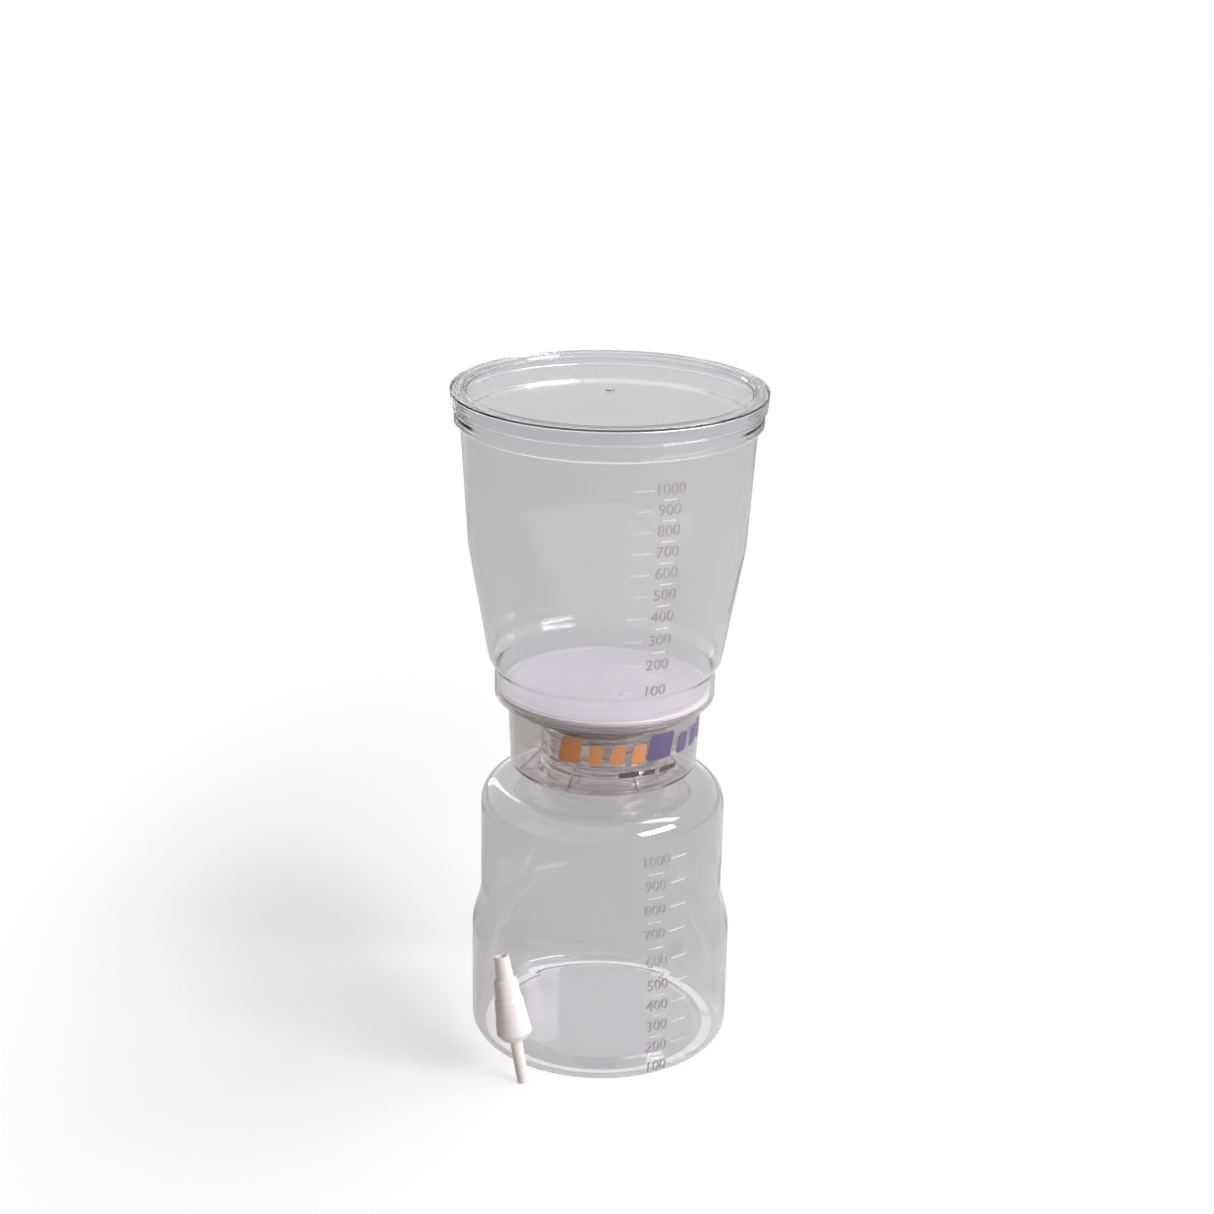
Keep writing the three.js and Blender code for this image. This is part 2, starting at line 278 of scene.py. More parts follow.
# a lighter copy of the clear plastic for the threads and ribs deep inside: painted light that lifts the darkening
# there
plasticInnerPaintedLight = clearPlastic("clear plastic inside", {
    **clearLook,
    "tint": (0.95, 0.93, 0.94),
    "deeperTint": (0.93, 0.91, 0.92),
    "shadowTint": (0.94, 0.93, 0.93),
})
plasticDrain = clearPlastic("milky plastic of the drain", {
    **clearLook,
    "tint": (0.97, 0.905, 0.88),
    "deeperTint": (0.95, 0.885, 0.86),
    "shadowTint": (0.96, 0.95, 0.94),
}, roughness=(0.16, 0.26), clarity=0.55)
plasticFrosted = clearPlastic(
    "frosted relief", {**clearLook, "tint": (0.80, 0.78, 0.82), "deeperTint": (0.77, 0.75, 0.79)},
    roughness=(0.42, 0.55), clarity=0.73,
)
plasticNumber = clearPlastic(
    "milky numbers", {**clearLook, "tint": (0.46, 0.435, 0.475), "deeperTint": (0.44, 0.415, 0.455)},
    roughness=(0.4, 0.5), clarity=0.25,
)
plasticWhite = moulded(
    "white polypropylene", (0.94, 0.90, 0.945), (0.90, 0.845, 0.86),
    roughness=(0.36, 0.46), grainSize=0.0009, grainDepth=0.00003, translucence=0.5,
)
plateWhite = moulded(
    "white plate plastic", (0.64, 0.575, 0.59), (0.61, 0.55, 0.56),
    roughness=(0.4, 0.5), grainSize=0.0007, grainDepth=0.00003, translucence=0.1,
)
siliconeGrey = moulded(
    "milky silicone", (0.84, 0.82, 0.80), (0.80, 0.78, 0.76),
    roughness=(0.45, 0.6), grainSize=0.0005, grainDepth=0.00004, translucence=0.2,
)
print("materials made")


def geometryTree(name, inputs):
    tree = bpy.data.node_groups.new(name, "GeometryNodeTree")
    face = tree.interface
    face.new_socket("Geometry", in_out="INPUT", socket_type="NodeSocketGeometry")
    for label, (kind, value) in inputs.items():
        socket = face.new_socket(label, in_out="INPUT", socket_type="NodeSocket" + kind)
        if value is not None:
            socket.default_value = value
    face.new_socket("Geometry", in_out="OUTPUT", socket_type="NodeSocketGeometry")
    nodes = Nodes(tree, "GeometryNode")
    source = tree.nodes.new("NodeGroupInput")
    given = {socket.name: Wire(nodes, socket) for socket in source.outputs if socket.name}
    return tree, nodes, given


def endTree(nodes, geometry, material):
    real = nodes.add("RealizeInstances", sockets={"Geometry": geometry})
    done = nodes.add("SetMaterial", sockets={"Geometry": real, "Material": material})
    last = nodes.tree.nodes.new("NodeGroupOutput")
    nodes.feed(last.inputs[0], done)


def linked(name, data):
    # a new object in the scene
    thing = bpy.data.objects.new(name, data)
    bpy.context.scene.collection.objects.link(thing)
    return thing


def asBuilt(thing):
    # its mesh after every modifier
    return bpy.data.meshes.new_from_object(thing.evaluated_get(bpy.context.evaluated_depsgraph_get()))


def finishMesh(mesh, smoothAngle=32):
    work = bmesh.new()
    work.from_mesh(mesh)
    bmesh.ops.recalc_face_normals(work, faces=work.faces)
    work.to_mesh(mesh)
    work.free()
    mesh.polygons.foreach_set("use_smooth", [True] * len(mesh.polygons))
    mesh.set_sharp_from_angle(angle=math.radians(smoothAngle))


def grown(name, mesh, tree, values):
    # runs a tree on a mesh and keeps the result as a plain mesh
    piece = linked(name, mesh)
    modifier = piece.modifiers.new(tree.name, "NODES")
    modifier.node_group = tree
    for item in tree.interface.items_tree:
        if item.in_out == "INPUT" and item.name in values:
            modifier[item.identifier] = values[item.name]
    result = asBuilt(piece)
    piece.modifiers.clear()
    piece.data = result
    result.name = name
    finishMesh(result)
    return piece


def pieceFrom(name, work, material):
    # keeps an edited mesh as a piece in one material
    mesh = bpy.data.meshes.new(name)
    work.to_mesh(mesh)
    work.free()
    mesh.materials.append(material)
    finishMesh(mesh, smoothAngle=30)
    return linked(name, mesh)


# turns a section, drawn in the XZ plane, about the vertical axis: it is swept along a tiny ring,
# and merging closes the poles
turnTree, turn, given = geometryTree("turn", {"Steps": ("Int", 192), "Material": ("Material", None)})
section = turn.add("MeshToCurve", sockets={"Mesh": given["Geometry"]})
flatSection = turn.add("Transform", sockets={"Geometry": section, "Rotation": (tau / 4, 0, 0)})
ring = turn.add("CurvePrimitiveCircle", sockets={"Resolution": given["Steps"], "Radius": 1e-5})
wall = turn.add("CurveToMesh", sockets={"Curve": ring, "Profile Curve": flatSection})
closed = turn.add("MergeByDistance", sockets={"Geometry": wall, "Distance": 3e-5})
endTree(turn, closed, given["Material"])


def startsOnAxis(points):
    return points[0][0] < 0.01


def sectionMesh(name, points):
    # points are (radius, height) in millimetres; a section off the axis closes on itself
    spots = [(r * mm, 0, z * mm) for r, z in points]
    edges = [(i, i + 1) for i in range(len(spots) - 1)]
    if not startsOnAxis(points):
        edges.append((len(spots) - 1, 0))
    mesh = bpy.data.meshes.new(name)
    mesh.from_pydata(spots, edges, [])
    return mesh


def held(points, near=0.2, longest=1.5):
    # points close to both ends of every long stretch keep soft edges from spreading over it
    closes = not startsOnAxis(points)
    follow = points[1:] + (points[:1] if closes else [])
    kept = []
    for (r, z), (nextR, nextZ) in zip(points, follow):
        kept.append((r, z))
        span = math.hypot(nextR - r, nextZ - z)
        if span > longest:
            for share in (near / span, 1 - near / span):
                kept.append((r + (nextR - r) * share, z + (nextZ - z) * share))
    return kept if closes else [*kept, points[-1]]


def turned(name, points, material, steps=192):
    return grown(name, sectionMesh(name, held(points)), turnTree, {"Steps": steps, "Material": material})


def rounded(corners, steps=5):
    # corners are (radius, height) or (radius, height, roundness); closed unless it ends on the axis
    onAxis = startsOnAxis(corners)
    count = len(corners)
    points = []
    for i, corner in enumerate(corners):
        here = Vector(corner[:2])
        size = corner[2] if len(corner) > 2 else 0
        if size == 0 or (onAxis and i in (0, count - 1)):
            points.append(tuple(here))
            continue
        before = Vector(corners[i - 1][:2]) - here
        after = Vector(corners[(i + 1) % count][:2]) - here
        half = before.angle(after) / 2
        reach = min(size / math.tan(half), 0.48 * before.length, 0.48 * after.length)
        radius = reach * math.tan(half)
        start = here + before.normalized() * reach
        end = here + after.normalized() * reach
        centre = here + (before.normalized() + after.normalized()).normalized() * radius / math.sin(half)
        a, b = start - centre, end - centre
        sweep = a.angle_signed(b)
        for k in range(steps + 1):
            angle = -sweep * k / steps
            spin = Matrix.Rotation(angle, 2)
            points.append(tuple(centre + spin @ a))
    return points


def softStep(fromRadius, fromHeight, toRadius, toHeight, steps):
    points = []
    for i in range(steps + 1):
        t = i / steps
        ease = t * t * (3 - 2 * t)
        points.append((fromRadius + (toRadius - fromRadius) * ease, fromHeight + (toHeight - fromHeight) * t))
    return points


def arc(radius, centreR, centreZ, start, end, steps):
    points = []
    for i in range(steps + 1):
        angle = math.radians(start + (end - start) * i / steps)
        points.append((centreR + radius * math.cos(angle), centreZ + radius * math.sin(angle)))
    return points


def heights(node):
    low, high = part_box(node)
    return low.z / mm, high.z / mm


def place(piece, body, slotName, *nodes):
    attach(piece, body)
    if nodes:
        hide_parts(*nodes)


# receiver bottle

bottle = {
    "upperRadius": 54,
    "wall": 1.7,
    "heel": 6,
    "foot": 5,
    "footRound": 2.5,
    "footShift": 0.6,
    "punt": 3,
    "puntRound": 4,
    "puntFlank": 3,
    "lower": 50,
    "ledge": 20,
    "upper": 52,
    "shoulder": 12,
    "shoulderRise": 1.2,
    "neck": 22.6,
    "neckRoot": 3,
}
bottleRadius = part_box("receiver_bottle")[1].x / mm
neckTop = heights("receiver_bottle")[1]


def bottleSurface(inset):
    b = bottle
    footRadius = bottleRadius - b["heel"]
    puntRadius = footRadius - b["foot"] - b["punt"] - b["puntFlank"]
    ledgeTop = b["lower"] + b["ledge"]
    shoulderTop = ledgeTop + b["upper"]
    shoulderR = b["upperRadius"] - b["shoulder"]
    rootR = b["neck"] + b["neckRoot"]
    rootZ = shoulderTop + b["shoulderRise"] + b["neckRoot"]
    return [
        (0, b["punt"] + inset),
        *arc(b["puntRound"] + inset, puntRadius, b["punt"] - b["puntRound"], 90, 55, 4),
        *arc(b["footRound"] - inset, footRadius - b["foot"] + b["footShift"], b["footRound"], 235, 270, 4),
        *arc(b["heel"] - inset, footRadius, b["heel"], -90, 0, 12),
        *softStep(bottleRadius - inset, b["lower"], b["upperRadius"] - inset, ledgeTop, 18),
        *arc(b["shoulder"] - inset, shoulderR, shoulderTop - b["shoulder"], 0, 90, 16),
        *arc(b["neckRoot"] + inset, rootR, rootZ, 270, 180, 8),
        (b["neck"] - inset, neckTop),
    ]


def radiusAt(surface, height, least=20):
    # where a rising wall stands at a height; points within the least radius belong to the foot
    rising = [(z, r) for r, z in surface if r > least]
    steps, radii = zip(*sorted(rising))
    return float(np.interp(height, steps, radii))


def lipped(outside, inside, roundness=0.45):
    # joins two walls over a lip with soft edges
    (outR, outZ), (inR, _) = outside[-1], inside[-1]
    lip = rounded([(outR, outZ - 2), (outR, outZ, roundness), (inR, outZ, roundness), (inR, outZ - 2)])[1:-1]
    return [*outside[:-1], *lip, *inside[:-1][::-1]]


bottleSection = lipped(bottleSurface(0), bottleSurface(bottle["wall"]))
place(turned("bottle_shell", bottleSection, plasticBottle, 224), "bottle", "clear_plastic", "receiver_bottle")

thread = {
    "pitch": 4,
    "turns": 3.2,
    "depth": 1.3,
    "root": 2.3,
    "crest": 1.0,
    "belowLip": 3.6,
    "sunk": 0.15,
}

# a screw ridge: a spiral with a tapering trapezoid along it
threadTree, weave, given = geometryTree("screwRidge", {
    "Radius": ("Float", 0.02),
    "Rise": ("Float", 0.01),
    "Turns": ("Float", 3.0),
    "Bottom": ("Float", 0.0),
    "Depth": ("Float", 0.001),
    "Root": ("Float", 0.002),
    "Crest": ("Float", 0.001),
    "Material": ("Material", None),
})
spiral = weave.add("CurveSpiral", sockets={
    "Resolution": 96,
    "Rotations": given["Turns"],
    "Start Radius": given["Radius"],
    "End Radius": given["Radius"],
    "Height": given["Rise"],
})
upright = weave.add("SetCurveNormal", {"mode": "Z_UP"}, {"Curve": spiral})
along = weave.add("SplineParameter", output="Factor")
endShare = 14  # each end tapers over one part in this many
ends = weave.add("ShaderNodeMath", {"operation": "MINIMUM"}, {0: along * endShare, 1: (1 - along) * endShare})
taper = weave.add("ShaderNodeMath", {"operation": "MINIMUM"}, {0: ends + 0.05, 1: 1.0})
ridgeLine = weave.add("SetCurveRadius", sockets={"Curve": upright, "Radius": taper})
ridge = weave.add("CurvePrimitiveQuadrilateral", {"mode": "TRAPEZOID"}, {
    "Height": given["Depth"],
    "Bottom Width": given["Root"],
    "Top Width": given["Crest"],
    "Offset": 0.0,
})
turnedRidge = weave.add("Transform", sockets={"Geometry": ridge, "Rotation": (0, 0, tau / 4)})
threadBody = weave.add("CurveToMesh", sockets={"Curve": ridgeLine, "Profile Curve": turnedRidge, "Fill Caps": True})
lift = weave.add("ShaderNodeCombineXYZ", sockets={"Z": given["Bottom"]})
raised = weave.add("Transform", sockets={"Geometry": threadBody, "Translation": lift})
endTree(weave, raised, given["Material"])


def screwRidge(name, radius, bottom, values):
    seed = bpy.data.meshes.new(name)
    seed.from_pydata([(0, 0, 0)], [], [])
    return grown(name, seed, threadTree, {
        "Radius": radius * mm,
        "Rise": values["pitch"] * values["turns"] * mm,
        "Turns": float(values["turns"]),
        "Bottom": bottom * mm,
        "Depth": values["depth"] * mm,
        "Root": values["root"] * mm,
        "Crest": values["crest"] * mm,
        "Material": plasticInnerPaintedLight,
    })


threadBottom = neckTop - thread["belowLip"] - thread["pitch"] * thread["turns"]
threadCentre = bottle["neck"] + thread["depth"] / 2 - thread["sunk"]
place(screwRidge("bottle_thread", threadCentre, threadBottom, thread), "bottle", "clear_plastic")
print("bottle made")

# scales: ticks along the wall and raised numbers

def levelsOf(inside, start, drop, volumes):
    # heights at which a vessel holds these millilitres, less the drop that the mould gives them;
    # a millilitre is 1000 cubic millimetres
    top = max(z for _, z in inside)
    steps = np.linspace(start, top, 1500)
    radii = np.array([radiusAt(inside, z) for z in steps])
    slices = math.pi * radii[1:] ** 2 * np.diff(steps)
    filled = np.concatenate([[0], np.cumsum(slices)]) / 1000
    return [float(np.interp(v, filled, steps)) - drop for v in volumes]


def scaleLevels(inside, start, drop=0):
    hundreds = levelsOf(inside, start, drop, range(100, 1001, 100))
    return {"hundreds": hundreds, "halves": levelsOf(inside, start, drop, range(150, 951, 100))}


def onWall(surface, azimuth, height):
    # azimuth is in radians to the right of the front
    radius = radiusAt(surface, height) * mm
    return (radius * math.sin(azimuth), -radius * math.cos(azimuth), height * mm)


# ridges along the edges of a mesh, half sunk in the wall
tickTree, bars, given = geometryTree("tickRidges", {"Width": ("Float", 0.0006), "Material": ("Material", None)})
tickLines = bars.add("MeshToCurve", sockets={"Mesh": given["Geometry"]})
tickRound = bars.add("CurvePrimitiveCircle", sockets={"Resolution": 8, "Radius": given["Width"] / 2})
tickBodies = bars.add("CurveToMesh", sockets={"Curve": tickLines, "Profile Curve": tickRound, "Fill Caps": True})
endTree(bars, tickBodies, given["Material"])


def tickMesh(name, surface, ticks):
    # ticks are (azimuth of the middle, height, length)
    spots, edges = [], []
    steps = 8
    for azimuth, height, length in ticks:
        half = length / radiusAt(surface, height) / 2
        first = len(spots)
        spots += [onWall(surface, azimuth - half + 2 * half * i / steps, height) for i in range(steps + 1)]
        edges += [(first + i, first + i + 1) for i in range(steps)]
    mesh = bpy.data.meshes.new(name)
    mesh.from_pydata(spots, edges, [])
    return mesh


def flatText(words, size, depth):
    # a number as a flat raised mesh, centred, in millimetres
    curve = bpy.data.curves.new("number", "FONT")
    curve.body = words
    curve.size = size
    curve.align_x = "CENTER"
    curve.align_y = "CENTER"
    curve.extrude = depth / 2
    curve.resolution_u = 4
    carrier = linked("number", curve)
    mesh = asBuilt(carrier)
    bpy.data.objects.remove(carrier)
    bpy.data.curves.remove(curve)
    return mesh


def middleOf(element):
    corners = [element] if isinstance(element, bmesh.types.BMVert) else element.verts
    return tuple(sum((v.co for v in corners), Vector()) / len(corners))


def inOrder(work):
    # cuts leave a mesh in an order that changes from run to run, so it is put in order of place
    for parts in (work.verts, work.edges, work.faces):
        ranks = {part: rank for rank, part in enumerate(sorted(parts, key=middleOf))}
        parts.sort(key=ranks.get)


def wrap(work, surface, azimuth, height, sunk):
    # bends a flat shape, drawn in millimetres, round the wall
    low = min(v.co.x for v in work.verts)
    high = max(v.co.x for v in work.verts)
    strip = 1.2
    cuts = int((high - low) / strip)
    for i in range(1, cuts + 1):
        everything = work.verts[:] + work.edges[:] + work.faces[:]
        at = low + (high - low) * i / (cuts + 1)
        bmesh.ops.bisect_plane(work, geom=everything, plane_co=(at, 0, 0), plane_no=(1, 0, 0))
    inOrder(work)
    for v in work.verts:
        z = height + v.co.y
        wallRadius = radiusAt(surface, z)
        radius = wallRadius + v.co.z - sunk
        angle = azimuth + v.co.x / wallRadius
        v.co = Vector((radius * math.sin(angle), -radius * math.cos(angle), z)) * mm


def numberPiece(name, surface, numbers, values):
    # numbers are (words, azimuth, height)
    whole = bmesh.new()
    for words, azimuth, height in numbers:
        work = bmesh.new()
        flat = flatText(words, values["numberSize"], values["numberDepth"])
        work.from_mesh(flat)
        bmesh.ops.remove_doubles(work, verts=work.verts, dist=1e-4)
        wrap(work, surface, azimuth, height, -values["numberDepth"] / 2 + values["numberSunk"])
        work.to_mesh(flat)
        whole.from_mesh(flat)
        work.free()
    return pieceFrom(name, whole, plasticNumber)


def scale(prefix, body, surface, levels, values):
    # numbers at every hundred, long ticks beside them, short ticks halfway between
    middle = math.radians(values["azimuth"])
    reach = values["longTickFrom"] + values["longTick"] / 2
    ticks, numbers = [], []
    for i, height in enumerate(levels["hundreds"]):
        sideways = values["longTickSide"] * reach / radiusAt(surface, height)
        ticks.append((middle + sideways, height, values["longTick"]))
        numbers.append((str(100 * (i + 1)), middle, height))
    ticks += [(middle, height, values["shortTick"]) for height in levels["halves"]]
    tickPiece = grown(prefix + "_ticks", tickMesh(prefix + "_ticks", surface, ticks), tickTree, {
        "Width": values["tickWidth"] * mm,
        "Material": plasticFrosted,
    })
    place(tickPiece, body, "clear_plastic")
    place(numberPiece(prefix + "_numbers", surface, numbers, values), body, "clear_plastic")


bottleScale = {
    "azimuth": 26,
    "numberSize": 7.0,
    "numberDepth": 0.5,
    "numberSunk": 0.1,
    "longTick": 8.5,
    "longTickFrom": 7.2,
    "longTickSide": 1,
    "shortTick": 7.2,
    "tickWidth": 0.75,
    "drop": 9.0,
}
bottleFloor = bottle["punt"] + bottle["wall"]
bottleLevels = scaleLevels(bottleSurface(bottle["wall"]), bottleFloor, bottleScale["drop"])
scale("bottle", "bottle", bottleSurface(0), bottleLevels, bottleScale)
print("bottle scale made", [round(h, 1) for h in bottleLevels["hundreds"]])

# funnel

funnel = {
    "wall": 1.8,
    "ledge": 2,
    "ledgeInside": 40.9,
    "plateWallHeight": 9.5,
    "flareFrom": 1.2,
    "flareHeight": 7.5,
    "flareWidth": 2.9,
    "coneHeight": 50,
    "coneRadius": 59.6,
    "turn": 6,
    "upperHeight": 53,
    "bandHeight": 7.4,
    "bandWidth": 1,
    "bandChamfer": 1,
    "shelf": 2.6,
    "rimRadius": 64.4,
}
funnelFoot, funnelTop = heights("funnel")
seatHeight = funnelFoot + funnel["ledge"]
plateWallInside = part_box("support_plate")[1].x / mm + seatGap


def bowlSurface(inset):
    f = funnel
    plateWall = plateWallInside + f["wall"]
    wallTop = seatHeight + f["plateWallHeight"]
    flareTop = wallTop + f["flareHeight"]
    coneTop = flareTop + f["coneHeight"]
    bandBottom = coneTop + f["upperHeight"]
    shelfRadius = f["rimRadius"] + f["bandWidth"] - f["shelf"]
    slope = (f["coneRadius"] - plateWall - f["flareWidth"]) / f["coneHeight"]
    upperSlope = (shelfRadius - f["coneRadius"]) / f["upperHeight"]
    bend = []
    steps = 6
    for i in range(-steps, steps + 1):
        t = i / steps * f["turn"]
        bend.append((f["coneRadius"] + t * (slope if t < 0 else upperSlope) - inset, coneTop + t))
    smoothBend = [bend[0]]
    for before, here, after in zip(bend, bend[1:], bend[2:]):
        smoothBend.append(((before[0] + 2 * here[0] + after[0]) / 4, here[1]))
    return [
        (plateWall - inset, wallTop),
        *softStep(plateWall - inset, wallTop + f["flareFrom"], plateWall + f["flareWidth"] - inset, flareTop, 14),
        *smoothBend,
        bend[-1],
        (shelfRadius - inset, bandBottom),
    ]


def funnelSection():
    f = funnel
    outside = bowlSurface(0)
    inside = bowlSurface(f["wall"])
    shelfRadius, bandBottom = outside[-1]
    bandTop = bandBottom + f["bandHeight"]
    bandRadius = f["rimRadius"] + f["bandWidth"]
    skirt = plateWallInside + f["wall"]
    return rounded([
        (f["ledgeInside"], funnelFoot, 0.3),
        (skirt, funnelFoot, 1.0),
        *outside[:-1],
        (shelfRadius, bandBottom, 0.6),
        (bandRadius, bandBottom + f["bandChamfer"], 0.6),
        (bandRadius, bandTop, 0.4),
        (f["rimRadius"], bandTop, 0.25),
        (f["rimRadius"], funnelTop, 0.5),
        (f["rimRadius"] - f["wall"], funnelTop, 0.5),
        (inside[-1][0], inside[-1][1], 3.0),
        *inside[:-1][::-1],
        (plateWallInside, seatHeight, 0.5),
        (f["ledgeInside"], seatHeight, 0.3),
    ])


place(turned("funnel_shell", funnelSection(), plasticClear, 256), "filter_top", "clear_plastic", "funnel")

funnelScale = {
    "azimuth": 24,
    "numberSize": 7.0,
    "numberDepth": 0.45,
    "numberSunk": 0.1,
    "longTick": 8.0,
    "longTickFrom": 7.2,
    "longTickSide": -1,
    "shortTick": 6.0,
    "tickWidth": 0.65,
}
membraneTop = heights("membrane")[1]
bowlInside = [(plateWallInside, membraneTop), *bowlSurface(funnel["wall"])]
funnelLevels = scaleLevels(bowlInside, membraneTop)
scale("funnel", "filter_top", bowlSurface(0), funnelLevels, funnelScale)
print("funnel made", [round(h, 1) for h in funnelLevels["hundreds"]])

# lid

lid = {
    "wall": 1.5,
    "thickness": 1.6,
    "sink": 1.2,
    "panel": 60.2,
    "inside": 65.0,
    "edge": 0.8,
    "gate": 1.6,
    "gateFlank": 0.3,
    "gateHeight": 0.35,
}


def lidSection():
    low, high = heights("lid")
    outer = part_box("lid")[1].x / mm
    underside = high - lid["thickness"]
    panel, sink = lid["panel"], lid["sink"]
    return rounded([
        (0, underside - sink),
        (panel, underside - sink, 0.5),
        (panel + sink, underside, 0.8),
        (lid["inside"], underside, 0.5),
        (lid["inside"], low, 0.3),
        (lid["inside"] + lid["wall"], low, 0.5),
        (outer, high - lid["edge"], 0.3),
        (outer, high, 1.0),
        (panel + sink, high, 0.8),
        (panel, high - sink, 0.5),
        (lid["gate"] + lid["gateFlank"], high - sink, 0.2),
        (lid["gate"], high - sink + lid["gateHeight"], 0.2),
        (0, high - sink + lid["gateHeight"]),
    ])


place(turned("lid_shell", lidSection(), plasticLid, 256), "lid", "clear_plastic", "lid")
print("lid made")

# filter base: collar, drum, gussets and side port

base = {
    "collarInside": 24.6,
    "collarWall": 2.8,
    "flangeWidth": 1.6,
    "flangeHeight": 3,
    "flangeSlope": 0.8,
    "webHole": 14,
    "webThickness": 1.8,
    "draft": 1.5,
    "topWall": 1.5,
    "wall": 1.8,
    "corner": 2.5,
    "drumHeight": 32.5,
    "gussets": 8,
    "gussetThickness": 1.4,
    "gussetHeight": 9,
    "gussetTop": 1.2,
    "gussetToe": 0.2,
    "gussetSunk": 0.6,
    "gussetEdge": 0.25,
    "rootShare": 0.6,
    "stepWidth": 1,
    "portRise": 8,
    "portInside": 8,
    "portLip": 0.9,
    "portBore": 3,
    "portTip": 4.75,
    "portRoot": 5.3,
}
collarBottom, drumTop = heights("filter_base")
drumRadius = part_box("filter_base")[1].x / mm
drumBottom = drumTop - base["drumHeight"]
drumFoot = drumRadius - base["draft"]
collarRadius = base["collarInside"] + base["collarWall"]
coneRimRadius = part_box("drain_cone")[1].x / mm
coneRimHeight = 5.4
webTop = heights("neck_gasket")[1] + seatGap + base["webThickness"]


def baseSection():
    b = base
    flange = collarRadius + b["flangeWidth"]
    step = seatHeight - coneRimHeight - seatGap
    floor = drumBottom + b["wall"]
    return rounded([
        (b["collarInside"], collarBottom, 0.4),
        (flange, collarBottom, 0.5),
        (flange, collarBottom + b["flangeHeight"], 0.5),
        (collarRadius, collarBottom + b["flangeHeight"] + b["flangeSlope"], 0.4),
        (collarRadius, drumBottom, 0.8),
        (drumFoot, drumBottom, b["corner"]),
        (drumRadius, drumTop, 0.3),
        (drumRadius - b["topWall"], drumTop, 0.3),
        (drumRadius - b["topWall"], step, 0.2),
        (coneRimRadius - b["stepWidth"], step, 0.3),
        (drumFoot - b["wall"], floor, b["corner"] - b["wall"]),
        (collarRadius, floor, 0.6),
        (collarRadius, webTop, 0.4),
        (b["webHole"], webTop, 0.3),
        (b["webHole"], webTop - b["webThickness"], 0.3),
        (b["collarInside"], webTop - b["webThickness"], 0.6),
    ], 6)


# copies of a rib, evenly round the axis
ribTree, ribs, given = geometryTree("ribsRound", {
    "Count": ("Int", 8),
    "Turn": ("Float", 0.0),
    "Material": ("Material", None),
})
hub = ribs.add("MeshCircle", sockets={"Vertices": given["Count"], "Radius": 1e-6})
ribNumber = ribs.add("InputIndex")
ribAngle = ribNumber * tau / given["Count"] + given["Turn"]
ribTurn = ribs.add("ShaderNodeCombineXYZ", sockets={"Z": ribAngle})
ribCopies = ribs.add("InstanceOnPoints", sockets={
    "Points": hub,
    "Instance": given["Geometry"],
    "Rotation": ribTurn,
})
endTree(ribs, ribCopies, given["Material"])


def gussetMesh():
    # one rib on the floor of the drum, its root sunk in floor and collar
    b = base
    root = drumBottom + b["wall"] * b["rootShare"]
    floor = drumBottom + b["wall"]
    sunk = b["gussetSunk"]
    outline = rounded([
        (collarRadius - sunk, root),
        (drumFoot - b["corner"] + sunk, root),
        (drumFoot - b["corner"], floor + b["gussetToe"], 0.5),
        (collarRadius + b["gussetTop"], floor + b["gussetHeight"], 1.5),
        (collarRadius - sunk, floor + b["gussetHeight"]),
    ])
    work = bmesh.new()
    face = work.faces.new([work.verts.new((r * mm, -b["gussetThickness"] / 2 * mm, z * mm)) for r, z in outline])
    pushed = bmesh.ops.extrude_face_region(work, geom=[face])
    moved = [v for v in pushed["geom"] if isinstance(v, bmesh.types.BMVert)]
    bmesh.ops.translate(work, verts=moved, vec=(0, b["gussetThickness"] * mm, 0))
    bmesh.ops.recalc_face_normals(work, faces=work.faces)
    rims = []
    sharp = 0.9  # radians between two faces
    for edge in work.edges:
        first, second = edge.verts
        alongSide = abs(first.co.y - second.co.y) < 1e-6
        if edge.is_manifold and edge.calc_face_angle() > sharp and alongSide:
            rims.append(edge)
    bmesh.ops.bevel(work, geom=rims, offset=b["gussetEdge"] * mm, segments=2, affect="EDGES")
    mesh = bpy.data.meshes.new("gusset")
    work.to_mesh(mesh)
    work.free()
    return mesh


def alongPort(mesh):
    # a piece turned about +Z is laid along +Y at the port's height
    height = (drumBottom + base["portRise"]) * mm
    mesh.transform(Matrix.Translation((0, 0, height)) @ Matrix.Rotation(-tau / 4, 4, "X"))
    return mesh


def filterBase():
    b = base
    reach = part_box("filter_base")[1].y / mm
    shell = turned("base_shell", baseSection(), plasticBase, 224)
    root = drumFoot - b["wall"] * b["rootShare"]
    tube = turned("port_outside", rounded([
        (0, root),
        (b["portRoot"], root),
        (b["portTip"], reach - b["portLip"], 0.6),
        (b["portTip"] - b["portLip"], reach, 0.2),
        (0, reach),
    ]), plasticBase, 48)
    start, end = root - b["portInside"], reach + 1
    hollow = [(0, start), (b["portBore"], start), (b["portBore"], end), (0, end)]
    bore = turned("port_bore", hollow, plasticBase, 40)
    alongPort(tube.data)
    alongPort(bore.data)
    for tool, operation in ((tube, "UNION"), (bore, "DIFFERENCE")):
        cut = shell.modifiers.new(operation.lower(), "BOOLEAN")
        cut.operation = operation
        cut.object = tool
        cut.solver = "EXACT"
    result = asBuilt(shell)
    shell.modifiers.clear()
    shell.data = result
    for tool in (tube, bore):
        bpy.data.objects.remove(tool)
    finishMesh(result)
    return shell


place(filterBase(), "filter_top", "clear_plastic", "filter_base")
gussets = grown("base_gussets", gussetMesh(), ribTree, {
    "Count": base["gussets"],
    "Turn": tau / base["gussets"] / 2,
    "Material": plasticInnerPaintedLight,
})
place(gussets, "filter_top", "clear_plastic")

